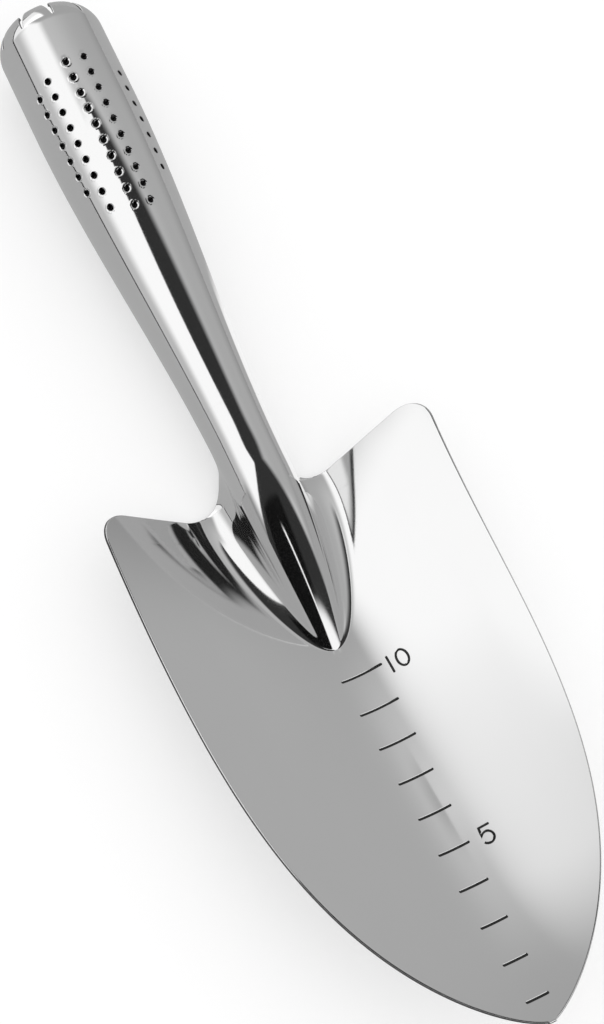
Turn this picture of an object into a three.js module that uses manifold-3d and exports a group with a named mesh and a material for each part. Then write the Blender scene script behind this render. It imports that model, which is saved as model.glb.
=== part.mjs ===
// Hand transplanter: an all-stainless garden trowel with a pressed, scaled blade, a raised
// tongue and a rolled tube handle whose end closes in a crown of petals.
//
// Units are millimetres. The tool is drawn with +X to its right, +Y from the blade's tip to the
// handle's end and +Z out of the blade's hollow side. It is then laid down on the ground.
import * as THREE from 'three';
import { mergeVertices } from 'three/addons/utils/BufferGeometryUtils.js';
import Module from 'manifold-3d';

// Sheet
const SHEET = 1;
const GAP = 0.2;

// Blade: plan outline, lengthwise dish and cross fold
const BLADE_LENGTH = 150;
const BLADE_HALF_WIDTH = 44.2;
const TIP_HALF_WIDTH = 0.8;
const OUTLINE_POWER = 4;
const OUTLINE_ROOT = 0.767;
const SHOULDER_RADIUS = 7;
const DISH = [-0.217, 0.00304, -0.0000143];
const FOLD_RADIUS = 6.6;
const FOLD_SLOPE = 0.35;
const FOLD_GAIN = 0.575;
const FOLD_POWER = 5;

// Tongue: the raised ridge that runs from the blade up into the handle
const NOSE_Y = 105;
const NOSE_RISE = 0.75;
const NOSE_RADIUS = 4;
const NOSE_FILLET = 2;
const NECK_FILLET = 7.5;

// Neck: the sheet closes round the handle's axis
const NECK_LENGTH = 20;
const NECK_CORNER = 6;
const AXIS_RISE = THREE.MathUtils.degToRad(11.8);
const AXIS_Z = 10;
const BEND_FADE = 4;
const CURL_LENGTH = 16;
const LEAN_LENGTH = 15;

// Handle tube, measured along its own axis from the blade's top edge
const NECK_RADIUS = 8.5;
const GRIP_RADIUS = 14.6;
const TAPER_START = 2;
const TAPER_END = 112;
const TUBE_START = 22;
const DOME_START = 133.8;
const HANDLE_END = 141.1;
const RIM_RADIUS = 10.4;
const DOME_TURN = THREE.MathUtils.degToRad(60);

// Crown of petals
const PETALS = 10;
const NOTCH_DEPTH = 5.6;
const NOTCH_MOUTH = 2.6;
const NOTCH_ROOT = 1.1;

// Grip dimples: columns by angle from the top of the handle, rows along it
const DIMPLE_PITCH = 4.9;
const DIMPLE_RADIUS = 0.95;
const DIMPLE_DEPTH = 0.6;
const DIMPLE_END = 120.2;
const DIMPLE_COLUMNS = [
  { angle: -54, first: 1, count: 7 },
  { angle: -36, first: 0.5, count: 9 },
  { angle: -10, first: 0, count: 10 },
  { angle: 10, first: 0, count: 10 },
  { angle: 49, first: 1, count: 7 },
];

// Welds
const SEAM_SLOT = 2.2;
const SEAM_WIDTH = 1.8;
const BEAD_PROUD = 0.15;

// Depth scale
const MARKS = 10;
const MARK_PITCH = 10;
const FIRST_MARK_Y = 6.1;
const MARK_LEFT = -3.1;
const MARK_RIGHT = 2.8;
const MARK_GROWTH = 0.57;
const LINE_WIDTH = 0.5;
const INK_TOP = 0.05;
const INK_DEPTH = 0.3;
const INK_CLEARANCE = 0.08;
const DIGIT_HEIGHT = 4.8;
const DIGIT_WIDTH = 0.4;
const ZERO_RADIUS = 1.4;
const BOWL_RADIUS = 1.5;
const BOWL_START = 140;
const BOWL_END = -140;

// How the tool lies on the ground: the blade's belly and the grip both touch
const REST_TILT = THREE.MathUtils.degToRad(9.8);

// Mesh fineness
const HALF_COLUMNS = 18;
const AROUND = 36;

const wasm = await Module();
wasm.setup();

const { lerp, smoothstep, clamp, degToRad } = THREE.MathUtils;

// ---------------------------------------------------------------- solids

function toSolid(geometry) {
  const plain = geometry.clone();
  plain.deleteAttribute('normal');
  plain.deleteAttribute('uv');
  const merged = mergeVertices(plain, 1e-3);
  return new wasm.Manifold(new wasm.Mesh({
    numProp: 3,
    vertProperties: new Float32Array(merged.attributes.position.array),
    triVerts: new Uint32Array(merged.index.array),
  }));
}

function toGeometry(solid) {
  const { vertProperties, triVerts } = solid.getMesh();
  const geometry = new THREE.BufferGeometry();
  geometry.setAttribute('position', new THREE.BufferAttribute(vertProperties, 3));
  geometry.setIndex(new THREE.BufferAttribute(triVerts, 1));
  geometry.computeVertexNormals();
  return geometry;
}

function joined(geometries) {
  let solid = toSolid(geometries[0]);
  for (const geometry of geometries.slice(1)) {
    solid = solid.add(toSolid(geometry));
  }
  return toGeometry(solid);
}

function cutAway(geometry, cutters) {
  let solid = toSolid(geometry);
  for (const cutter of cutters) {
    solid = solid.subtract(toSolid(cutter));
  }
  return toGeometry(solid);
}

// Gives an open, indexed surface a thickness on its back and walls along its free edges.
function thicken(points, faces, thickness) {
  const skin = new THREE.BufferGeometry();
  skin.setAttribute('position', new THREE.Float32BufferAttribute(points.flat(), 3));
  skin.setIndex(faces.flat());
  skin.computeVertexNormals();
  const normal = skin.attributes.normal;
  const back = points.map(([x, y, z], i) => [
    x - thickness * normal.getX(i),
    y - thickness * normal.getY(i),
    z - thickness * normal.getZ(i),
  ]);

  const shift = points.length;
  const closed = [...faces, ...faces.map(([a, b, c]) => [a + shift, c + shift, b + shift])];
  const directed = new Set();
  for (const face of faces) {
    face.forEach((from, i) => directed.add(`${from} ${face[(i + 1) % 3]}`));
  }
  for (const edge of directed) {
    const [from, to] = edge.split(' ').map(Number);
    if (directed.has(`${to} ${from}`)) {
      continue;
    }
    closed.push([to, from, from + shift], [to, from + shift, to + shift]);
  }

  const geometry = new THREE.BufferGeometry();
  geometry.setAttribute('position', new THREE.Float32BufferAttribute([...points, ...back].flat(), 3));
  geometry.setIndex(closed.flat());
  geometry.computeVertexNormals();
  return geometry;
}

// Triangles between rows of points. A shorter row meets the middle of a longer one.
function skinRows(rows) {
  const points = rows.flat();
  const faces = [];
  let start = 0;
  for (let i = 0; i + 1 < rows.length; i += 1) {
    const next = start + rows[i].length;
    const inset = (rows[i].length - rows[i + 1].length) / 2;
    for (let j = 0; j + 1 < rows[i + 1].length; j += 1) {
      const a = start + inset + j;
      const b = next + j;
      faces.push([a, a + 1, b], [a + 1, b + 1, b]);
    }
    start = next;
  }
  return { points, faces };
}

// ---------------------------------------------------------------- blade and neck

function bladeHalfWidth(y) {
  const outline = (1 - (1 - y / BLADE_LENGTH) ** OUTLINE_POWER) ** OUTLINE_ROOT;
  const intoShoulder = clamp((y - BLADE_LENGTH + SHOULDER_RADIUS) / SHOULDER_RADIUS, 0, 1);
  const shoulder = SHOULDER_RADIUS * (1 - Math.sqrt(1 - intoShoulder ** 2));
  return Math.max(TIP_HALF_WIDTH, BLADE_HALF_WIDTH * outline - shoulder);
}

function dishZ(y) {
  return DISH[0] * y + DISH[1] * y ** 2 + DISH[2] * y ** 3;
}

function foldSteepness(y) {
  return FOLD_SLOPE + FOLD_GAIN * (y / BLADE_LENGTH) ** FOLD_POWER;
}

function foldZ(x, y) {
  return dishZ(y) + foldSteepness(y) * (Math.hypot(x, FOLD_RADIUS) - FOLD_RADIUS);
}

function foldAngle(x, y) {
  return Math.atan(foldSteepness(y) * x / Math.hypot(x, FOLD_RADIUS));
}

function handleRadius(s) {
  return lerp(NECK_RADIUS, GRIP_RADIUS, smoothstep(s, TAPER_START, TAPER_END));
}

// The tongue's crest leaves the blade at the nose and arrives in line with the handle.
function crestZ(y) {
  const span = BLADE_LENGTH - NOSE_Y;
  const t = (y - NOSE_Y) / span;
  const low = dishZ(NOSE_Y);
  const high = AXIS_Z + NECK_RADIUS;
  const leave = NOSE_RISE * span;
  const arrive = Math.tan(AXIS_RISE) * span;
  return low * (1 + 2 * t) * (1 - t) ** 2 + leave * t * (1 - t) ** 2
    + high * t ** 2 * (3 - 2 * t) - arrive * t ** 2 * (1 - t);
}

// Half a cross-section of the blade: an arch over the tongue, a fillet and the folded wing.
function bladeSection(y) {
  const section = { y, radius: 0, centre: 0, bend: 0, fillet: 0, foot: 0, slope: 0 };
  if (y > NOSE_Y) {
    const ease = Math.sin((y - NOSE_Y) / (BLADE_LENGTH - NOSE_Y) * Math.PI / 2);
    section.radius = lerp(NOSE_RADIUS, NECK_RADIUS, ease);
    section.fillet = lerp(NOSE_FILLET, NECK_FILLET, ease);
    section.centre = crestZ(y) - section.radius;
    let near = 0;
    let far = BLADE_HALF_WIDTH;
    for (let step = 0; step < 40; step += 1) {
      section.foot = (near + far) / 2;
      section.slope = foldAngle(section.foot, y);
      section.filletX = section.foot - section.fillet * Math.sin(section.slope);
      section.filletZ = foldZ(section.foot, y) + section.fillet * Math.cos(section.slope);
      const apart = Math.hypot(section.filletX, section.filletZ - section.centre);
      if (apart > section.radius + section.fillet) {
        far = section.foot;
      } else {
        near = section.foot;
      }
    }
    section.bend = Math.atan2(section.filletX, section.filletZ - section.centre);
  }
  section.archReach = section.radius * section.bend;
  section.footReach = section.archReach + section.fillet * (section.bend + section.slope);
  section.reach = section.footReach
    + (bladeHalfWidth(y) - section.foot) / Math.cos(section.slope);
  return section;
}

// The point that lies a given reach from the crest, measured along the section.
function onSection(section, reach) {
  if (reach < section.archReach) {
    const angle = reach / section.radius;
    return [section.radius * Math.sin(angle), section.centre + section.radius * Math.cos(angle)];
  }
  if (reach < section.footReach) {
    const heading = (reach - section.archReach) / section.fillet - section.bend;
    return [
      section.filletX + section.fillet * Math.sin(heading),
      section.filletZ - section.fillet * Math.cos(heading),
    ];
  }
  const x = section.foot + (reach - section.footReach) * Math.cos(section.slope);
  return [x, foldZ(x, section.y)];
}

const topSection = bladeSection(BLADE_LENGTH);
const valleyReach = topSection.archReach + topSection.fillet * topSection.bend;
const NECK_COLUMNS = Math.round(HALF_COLUMNS * valleyReach / topSection.reach);
const cornerReach = topSection.reach * NECK_COLUMNS / HALF_COLUMNS;

function bladeRow(y) {
  const section = bladeSection(y);
  const row = [];
  for (let column = -HALF_COLUMNS; column <= HALF_COLUMNS; column += 1) {
    const [x, z] = onSection(section, section.reach * Math.abs(column) / HALF_COLUMNS);
    row.push([Math.sign(column) * x, y, z]);
  }
  return row;
}

// How far the neck's sheet reaches from its crest: a rounded corner in from the blade's top
// edge, then out again until the two edges nearly meet underneath.
function neckReach(s) {
  const corner = NECK_CORNER * Math.sqrt(1 - (1 - Math.min(s / NECK_CORNER, 1)) ** 2);
  const closed = Math.PI * handleRadius(NECK_LENGTH) - GAP;
  const closing = smoothstep(s, NECK_CORNER, NECK_LENGTH);
  return cornerReach - corner + (closed - cornerReach + NECK_CORNER) * closing;
}

// Half a cross-section of the neck: the arch, then a skirt that flares out at the blade and
// curls in until it completes the tube.
function neckRow(s) {
  const radius = handleRadius(s);
  const slightlyLower = bladeSection(BLADE_LENGTH - 0.1);
  const bendRate = (topSection.bend - slightlyLower.bend) / 0.1;
  const bend = topSection.bend + bendRate * s * Math.exp(-s / BEND_FADE);
  const curl = lerp(-1 / NECK_FILLET, 1 / radius, smoothstep(s, 0, CURL_LENGTH));
  const lean = AXIS_RISE * smoothstep(s, 0, LEAN_LENGTH);
  const row = [];
  for (let column = -NECK_COLUMNS; column <= NECK_COLUMNS; column += 1) {
    const reach = neckReach(s) * Math.abs(column) / NECK_COLUMNS;
    const onArch = Math.min(reach / radius, bend);
    const skirt = Math.max(reach - radius * bend, 0);
    const turned = onArch + curl * skirt;
    const x = radius * Math.sin(onArch) + (Math.sin(turned) - Math.sin(onArch)) / curl;
    const up = radius * Math.cos(onArch) + (Math.cos(turned) - Math.cos(onArch)) / curl;
    row.push([
      Math.sign(column) * x,
      BLADE_LENGTH + s * Math.cos(AXIS_RISE) - up * Math.sin(lean),
      AXIS_Z + s * Math.sin(AXIS_RISE) + up * Math.cos(lean),
    ]);
  }
  return row;
}

function bladeSheet() {
  const rows = [];
  const bladeRows = 12;
  for (let i = 0; i < bladeRows; i += 1) {
    rows.push(bladeRow(NOSE_Y * (i / bladeRows) ** 1.4));
  }
  const tongueRows = 10;
  const shoulderY = BLADE_LENGTH - SHOULDER_RADIUS;
  for (let i = 0; i < tongueRows; i += 1) {
    rows.push(bladeRow(lerp(NOSE_Y + 0.6, shoulderY, (i / tongueRows) ** 1.3)));
  }
  const shoulderRows = 4;
  for (let i = 0; i <= shoulderRows; i += 1) {
    rows.push(bladeRow(shoulderY + SHOULDER_RADIUS * Math.sin(i / shoulderRows * Math.PI / 2)));
  }
  const cornerRows = 4;
  for (let i = 1; i <= cornerRows; i += 1) {
    rows.push(neckRow(NECK_CORNER * (1 - Math.cos(i / cornerRows * Math.PI / 2))));
  }
  const neckRows = 6;
  for (let i = 1; i <= neckRows; i += 1) {
    rows.push(neckRow(lerp(NECK_CORNER, NECK_LENGTH, i / neckRows)));
  }
  const { points, faces } = skinRows(rows);
  return thicken(points, faces, SHEET);
}

// ---------------------------------------------------------------- handle, in its axis frame

// Outer wall of the handle: distance along the axis, radius and how far the dome has turned in.
function handleProfile() {
  const wall = [];
  const taperSteps = 10;
  for (let i = 0; i <= taperSteps; i += 1) {
    const s = lerp(TUBE_START, DOME_START, i / taperSteps);
    wall.push({ s, r: handleRadius(s), turn: 0 });
  }
  const domeSteps = 4;
  const domeLength = (HANDLE_END - DOME_START) / Math.sin(DOME_TURN);
  const domeDrop = (GRIP_RADIUS - RIM_RADIUS) / (1 - Math.cos(DOME_TURN));
  for (let i = 1; i <= domeSteps; i += 1) {
    const turn = DOME_TURN * i / domeSteps;
    wall.push({
      s: DOME_START + domeLength * Math.sin(turn),
      r: GRIP_RADIUS - domeDrop * (1 - Math.cos(turn)),
      turn,
    });
  }
  return wall;
}

function notchCutter(index) {
  const shape = new THREE.Shape();
  const root = HANDLE_END - NOTCH_DEPTH;
  shape.moveTo(-NOTCH_ROOT / 2, root);
  shape.quadraticCurveTo(0, root - NOTCH_ROOT, NOTCH_ROOT / 2, root);
  shape.lineTo(NOTCH_MOUTH / 2, HANDLE_END + 1);
  shape.lineTo(-NOTCH_MOUTH / 2, HANDLE_END + 1);
  shape.closePath();
  const form = { depth: GRIP_RADIUS, bevelEnabled: false, curveSegments: 2 };
  const cutter = new THREE.ExtrudeGeometry(shape, form);
  cutter.translate(0, 0, RIM_RADIUS / 2);
  return cutter.rotateY(2 * Math.PI * index / PETALS);
}

function dimpleCutter(s, angle) {
  const height = 2 * DIMPLE_DEPTH;
  const cutter = new THREE.CylinderGeometry(2 * DIMPLE_RADIUS, 0.1, height, 6);
  cutter.rotateX(Math.PI / 2);
  cutter.translate(0, s, handleRadius(s));
  return cutter.rotateY(degToRad(angle));
}

function handleTube() {
  const outer = handleProfile();
  const inner = outer.map(({ s, r, turn }) => ({
    s: s - SHEET * Math.sin(turn),
    r: r - SHEET * Math.cos(turn),
  }));
  // The petals' ends are cut flat, square to the axis.
  inner[inner.length - 1] = { s: HANDLE_END, r: RIM_RADIUS - SHEET / Math.cos(DOME_TURN) };
  inner.reverse();
  const loop = [...outer, ...inner, outer[0]].map(({ s, r }) => new THREE.Vector2(r, s));
  const wall = new THREE.LatheGeometry(loop, AROUND);

  const cutters = [];
  for (let i = 0; i < PETALS; i += 1) {
    cutters.push(notchCutter(i));
  }
  for (const { angle, first, count } of DIMPLE_COLUMNS) {
    for (let row = 0; row < count; row += 1) {
      cutters.push(dimpleCutter(DIMPLE_END - (first + row) * DIMPLE_PITCH, angle));
    }
  }
  const slot = new THREE.BoxGeometry(SEAM_SLOT, HANDLE_END, GRIP_RADIUS);
  slot.translate(0, HANDLE_END / 2 + 1, -GRIP_RADIUS);
  cutters.push(slot);
  return cutAway(wall, cutters);
}

function neckWeld() {
  const middle = (NECK_LENGTH + TUBE_START) / 2;
  const halfLength = (TUBE_START - NECK_LENGTH) / 2 - GAP;
  const outer = handleRadius(middle);
  const loop = [[outer - SHEET, middle - halfLength]];
  for (const turn of [0, 0.25, 0.5, 0.75, 1]) {
    const along = -Math.cos(turn * Math.PI) * halfLength;
    loop.push([outer + BEAD_PROUD * Math.sin(turn * Math.PI), middle + along]);
  }
  loop.push([outer - SHEET, middle + halfLength], loop[0]);
  return new THREE.LatheGeometry(loop.map(([r, s]) => new THREE.Vector2(r, s)), AROUND);
}

function seamWeld() {
  const steps = 12;
  const from = TUBE_START + GAP;
  const to = HANDLE_END - NOTCH_DEPTH - 2;
  const outer = [];
  const inner = [];
  for (let i = 0; i <= steps; i += 1) {
    const s = lerp(from, to, i / steps);
    outer.push(new THREE.Vector2(-handleRadius(s) - BEAD_PROUD, s));
    inner.unshift(new THREE.Vector2(-handleRadius(s) + SHEET - BEAD_PROUD, s));
  }
  const shape = new THREE.Shape([...outer, ...inner]);
  const strip = new THREE.ExtrudeGeometry(shape, { depth: SEAM_WIDTH, bevelEnabled: false });
  strip.translate(0, 0, -SEAM_WIDTH / 2);
  return strip.rotateY(-Math.PI / 2);
}

// ---------------------------------------------------------------- depth scale

// A bar along +X that follows the blade, between two depths below its surface.
function scaleBar(index, grow, top, bottom) {
  const y = FIRST_MARK_Y + MARK_PITCH * index;
  const left = MARK_LEFT - grow;
  const right = MARK_RIGHT + MARK_GROWTH * index + grow;
  const steps = 6;
  const rows = [-1, 1].map((side) => {
    const row = [];
    for (let i = 0; i <= steps; i += 1) {
      const x = lerp(left, right, i / steps);
      const across = y + side * (LINE_WIDTH / 2 + grow);
      row.push([x, across, foldZ(x, y) - top]);
    }
    return row;
  });
  const { points, faces } = skinRows(rows);
  return thicken(points, faces, bottom - top);
}

// A flat glyph of one or more strokes, laid on the blade at (x, y) between two depths.
function laidOnBlade(shapes, x, y, top, bottom) {
  const form = { depth: bottom - top, bevelEnabled: false, curveSegments: 8 };
  const glyph = joined(shapes.map((shape) => new THREE.ExtrudeGeometry(shape, form)));
  glyph.translate(0, 0, -bottom);
  const reach = 1;
  const right = new THREE.Vector3(reach, 0, foldZ(x + reach, y) - foldZ(x, y)).normalize();
  const ahead = new THREE.Vector3(0, reach, foldZ(x, y + reach) - foldZ(x, y)).normalize();
  const out = new THREE.Vector3().crossVectors(right, ahead).normalize();
  ahead.crossVectors(out, right);
  const place = new THREE.Matrix4().makeBasis(right, ahead, out);
  place.setPosition(x, y, foldZ(x, y));
  return glyph.applyMatrix4(place);
}

// A closed outline that runs beside a line of points, half a width off on both sides.
function stroke(points, width) {
  const sideways = points.map((point, i) => {
    const before = points[Math.max(i - 1, 0)];
    const after = points[Math.min(i + 1, points.length - 1)];
    const along = new THREE.Vector2().subVectors(after, before).normalize();
    return new THREE.Vector2(-along.y, along.x).multiplyScalar(width / 2);
  });
  const left = points.map((point, i) => point.clone().add(sideways[i]));
  const right = points.map((point, i) => point.clone().sub(sideways[i])).reverse();
  return new THREE.Shape([...left, ...right]);
}

function oneShapes(width) {
  const half = (DIGIT_HEIGHT - DIGIT_WIDTH + width) / 2;
  return [stroke([new THREE.Vector2(0, -half), new THREE.Vector2(0, half)], width)];
}

function zeroShapes(width) {
  const half = (DIGIT_HEIGHT - DIGIT_WIDTH) / 2;
  const ring = new THREE.Shape();
  ring.absellipse(0, 0, ZERO_RADIUS + width / 2, half + width / 2, 0, 2 * Math.PI);
  const hole = new THREE.Path();
  hole.absellipse(0, 0, ZERO_RADIUS - width / 2, half - width / 2, 0, 2 * Math.PI);
  ring.holes.push(hole);
  return [ring];
}

function fiveShapes(width) {
  const extra = (width - DIGIT_WIDTH) / 2;
  const half = (DIGIT_HEIGHT - DIGIT_WIDTH) / 2;
  const bowl = [];
  const turns = 9;
  for (let i = 0; i <= turns; i += 1) {
    const angle = degToRad(lerp(BOWL_START, BOWL_END, i / turns));
    const up = BOWL_RADIUS - half + BOWL_RADIUS * Math.sin(angle);
    bowl.push(new THREE.Vector2(BOWL_RADIUS * Math.cos(angle), up));
  }
  const corner = new THREE.Vector2(bowl[0].x + 0.2, half);
  const bar = [new THREE.Vector2(BOWL_RADIUS + extra, half), corner];
  const stem = [new THREE.Vector2(corner.x, half + width / 2), bowl[0]];
  return [bar, stem, bowl].map((line) => stroke(line, width));
}

const markY = (number) => FIRST_MARK_Y + MARK_PITCH * (number - 1);
const digits = [
  { name: 'numeral_10_one', shapes: oneShapes, x: 9.6, y: markY(10) - 1.2 },
  { name: 'numeral_10_zero', shapes: zeroShapes, x: 12.9, y: markY(10) - 1.2 },
  { name: 'numeral_5', shapes: fiveShapes, x: 9.3, y: markY(5) - 0.5 },
];

// ---------------------------------------------------------------- assembly

const steel = (name, roughness) => new THREE.MeshStandardMaterial({
  name, color: 0xc9cbcc, metalness: 1, roughness,
});
const ink = new THREE.MeshStandardMaterial({ name: 'scale_ink', color: 0x161616, roughness: 0.6 });

function piece(name, geometry, material) {
  const mesh = new THREE.Mesh(geometry, material);
  mesh.name = name;
  return mesh;
}

const tool = new THREE.Group();
const handle = new THREE.Group();
handle.position.set(0, BLADE_LENGTH, AXIS_Z);
handle.rotation.x = AXIS_RISE;
tool.add(handle);

const grooves = [];
for (let i = 0; i < MARKS; i += 1) {
  grooves.push(scaleBar(i, INK_CLEARANCE, -1, INK_DEPTH + INK_CLEARANCE));
}
for (const { shapes, x, y } of digits) {
  const widened = shapes(DIGIT_WIDTH + 2 * INK_CLEARANCE);
  grooves.push(laidOnBlade(widened, x, y, -1, INK_DEPTH + INK_CLEARANCE));
}
tool.add(piece('blade', cutAway(bladeSheet(), grooves), steel('blade_steel', 0.2)));
handle.add(piece('handle_tube', handleTube(), steel('handle_steel', 0.12)));
handle.add(piece('neck_weld', neckWeld(), steel('weld_steel', 0.3)));
handle.add(piece('handle_seam_weld', seamWeld(), steel('weld_steel', 0.3)));
for (let i = 0; i < MARKS; i += 1) {
  const name = `depth_mark_${String(i + 1).padStart(2, '0')}`;
  tool.add(piece(name, scaleBar(i, 0, INK_TOP, INK_DEPTH), ink));
}
for (const { name, shapes, x, y } of digits) {
  tool.add(piece(name, laidOnBlade(shapes(DIGIT_WIDTH), x, y, INK_TOP, INK_DEPTH), ink));
}

// Lay the tool down and put the origin on the ground under the middle of it.
tool.rotation.x = -REST_TILT;
const extent = new THREE.Box3().setFromObject(tool, true);
const middle = extent.getCenter(new THREE.Vector3());
tool.position.set(-middle.x, -middle.y, -extent.min.z);

export default tool;
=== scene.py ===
"""Hand transplanter in stainless steel: a pressed scoop blade on a rolled tube handle.

The shapes are worked out in the tool's own frame, in millimetres: +X to its right, +Y from the
blade's tip to the handle's end, +Z out of the blade's hollow side. lay_down() then takes them to
the row frame, in metres.
"""

import math
from types import SimpleNamespace

import bmesh
import bpy
import numpy as np
from mathutils import Matrix, Vector
from mathutils.kdtree import KDTree


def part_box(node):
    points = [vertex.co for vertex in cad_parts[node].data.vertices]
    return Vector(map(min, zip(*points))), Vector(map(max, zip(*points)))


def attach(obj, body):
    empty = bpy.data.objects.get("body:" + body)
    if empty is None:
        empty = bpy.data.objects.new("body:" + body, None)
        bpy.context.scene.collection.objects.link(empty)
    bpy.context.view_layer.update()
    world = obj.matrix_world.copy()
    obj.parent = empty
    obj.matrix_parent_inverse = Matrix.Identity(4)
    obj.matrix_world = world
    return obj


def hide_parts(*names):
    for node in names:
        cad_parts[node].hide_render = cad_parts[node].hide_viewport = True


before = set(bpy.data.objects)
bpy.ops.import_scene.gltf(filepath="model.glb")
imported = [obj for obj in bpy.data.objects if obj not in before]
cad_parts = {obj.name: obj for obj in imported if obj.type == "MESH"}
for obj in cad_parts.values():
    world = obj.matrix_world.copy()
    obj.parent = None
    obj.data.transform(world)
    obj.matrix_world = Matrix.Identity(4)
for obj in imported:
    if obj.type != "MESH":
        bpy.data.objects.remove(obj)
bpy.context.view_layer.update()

MM = 0.001

# Sheet metal: its thickness, and how far its free edges are rounded
SHEET = 1.0
EDGE_ROUND = 0.25

# Blade: plan outline, lengthwise dish and cross fold. DISH holds the factors of y, y2 and y3.
BLADE_LENGTH = 150.0
BLADE_HALF_WIDTH = 44.2
TIP_HALF_WIDTH = 0.8
OUTLINE_POWER = 4
OUTLINE_ROOT = 0.767
SHOULDER_RADIUS = 7.0
DISH = (-0.217, 0.00304, -0.0000143)
FOLD_RADIUS = 6.6
FOLD_SLOPE = 0.35
FOLD_GAIN = 0.575
FOLD_POWER = 5

# Tongue: the raised ridge that runs from the blade up into the handle
NOSE_Y = 105.0
NOSE_RISE = 0.75
NOSE_RADIUS = 4.0
NOSE_FILLET = 2.0
NECK_FILLET = 7.5

# Neck: the sheet closes round the handle's axis. CURL_LENGTH is how far it takes to curl in from
# the blade's fillet, and LEAN_LENGTH how far its sections take to turn square to the handle.
NECK_LENGTH = 20.0
NECK_CORNER = 6.0
AXIS_RISE = math.radians(11.8)
AXIS_Z = 10.0
BEND_FADE = 4.0
CURL_LENGTH = 16.0
LEAN_LENGTH = 15.0
GAP = 0.2

# Handle tube, measured along its own axis from the blade's top edge
NECK_RADIUS = 8.5
GRIP_RADIUS = 14.6
TAPER_START = 2.0
TAPER_END = 112.0
TUBE_START = 22.0
DOME_START = 133.8
HANDLE_END = 141.1
RIM_RADIUS = 10.4
DOME_TURN = math.radians(60)

# Crown of petals
PETALS = 10
NOTCH_DEPTH = 5.6
NOTCH_MOUTH = 2.6
NOTCH_ROOT = 1.1

# Grip dimples: columns by angle from the top of the handle, rows along it. The lip's height is
# given in dimple depths, its place and width in dimple radii.
DIMPLE_PITCH = 4.9
DIMPLE_RADIUS = 1.15
DIMPLE_DEPTH = 0.6
LIP_HEIGHT = 0.07
LIP_PLACE = 1.12
LIP_WIDTH = 0.14
DIMPLE_END = 120.2
DIMPLE_COLUMNS = (  # angle in degrees, first row, rows
    (-54, 1, 7),
    (-36, 0.5, 9),
    (-10, 0, 10),
    (10, 0, 10),
    (49, 1, 7),
)

# Welds: how far a bead laps over the sheet, stands proud of it and reaches into the joint.
# The seam's bead also swells a little with each ripple.
SEAM_SLOT = 2.2
SEAM_STOP = 2.0
WELD_LAP = 0.35
WELD_PROUD = 0.02
WELD_DEPTH = 0.9 * SHEET
RIPPLE_HEIGHT = 0.03
RIPPLE_PITCH = 1.3

# Depth scale: ink in grooves. The cutter for a groove flares out above the surface, and reaches
# GROOVE_ROOM below the ink.
MARKS = 10
MARK_PITCH = 10.0
FIRST_MARK_Y = 6.1
MARK_LEFT = -3.1
MARK_RIGHT = 2.8
MARK_GROWTH = 0.57
LINE_WIDTH = 0.5
INK_TOP = 0.06
INK_DEPTH = 0.3
GROOVE_FLARE = 0.12
GROOVE_ROOM = 0.1
MITRE_LIMIT = 0.3
DIGIT_HEIGHT = 4.8
DIGIT_WIDTH = 0.4
DIGIT_DROP_10 = 1.2
DIGIT_DROP_5 = 0.5
ONE_X = 9.6
ZERO_X = 12.9
FIVE_X = 9.3
ZERO_RADIUS = 1.4
BOWL_RADIUS = 1.5
BOWL_TURN = math.radians(140)
STEM_LEAN = 0.2

# How the tool lies on the ground
REST_TILT = math.radians(9.8)

# Mesh fineness of the blade and neck: steps across and along. Packing above 1 gathers a stretch's
# rows at its start.
EDGE_STEPS = 3
HALF_COLUMNS = 104
BLADE_STEPS = 96
BLADE_PACKING = 1.3
NOSE_LEAD = 0.05
TONGUE_STEPS = 84
TONGUE_PACKING = 1.4
SHOULDER_STEPS = 16
CORNER_STEPS = 16
NECK_STEPS = 24

# Mesh fineness of the handle: finer where it is dimpled, along it and around it
DIMPLED_START = 72.0
DIMPLED_STOP = 121.6
DIMPLED_ARC = math.radians(60)
PLAIN_STEPS = 42
DIMPLED_STEPS = 142
TAIL_STEPS = 12
DOME_STEPS = 4
ROOT_STEPS = 8
PETAL_STEPS = 20
DIMPLED_COLUMNS = 30
PLAIN_COLUMNS = 13

# Mesh fineness of the welds and the scale
RING_COLUMNS = 192
RING_ROWS = 12
SEAM_ROWS = 260
SEAM_COLUMNS = 9
CAP_STEPS = 8
MARK_STEPS = 12
BOWL_STEPS = 20
ZERO_STEPS = 48

# Small numbers: steps that slopes are measured over, halvings that find a fillet's foot, and what
# counts as the same point in metres and as the same direction by its cosine
SLOPE_STEP = 0.01
DIMPLE_SLOPE_STEP = 0.02
BEND_STEP = 0.1
HALVINGS = 50
TINY = 1e-9
SAME_POINT = 1e-6
SAME_DIRECTION = 0.9

# Finish of the steel
BLADE_ROUGHNESS = 0.07
HANDLE_ROUGHNESS = 0.06

# Noise in waves per millimetre along x, y and z
HAZE = (0.06, 0.03, 0.06)
BUFFING = (9, 0.25, 9)
GRAIN = (2.5, 2.5, 2.5)
HAIRLINES = (1.1, 0.05, 1.1)
SHEAR_MARKS = (3, 3, 0.6)
MOTTLE = (2.2, 2.2, 2.2)

# Bump depths in millimetres
BUFFING_DEPTH = 0.0006
SHEAR_DEPTH = 0.01
MOTTLE_DEPTH = 0.02

# Studio floor
GROUND_HALF = 3.0
FLOOR_GREY = 0.56
FLOOR_GLOW = 0.42
FLOOR_ROUGHNESS = 0.9
MIRRORED_GREY = 0.43
STRIP_CHANGE = 0.55

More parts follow.
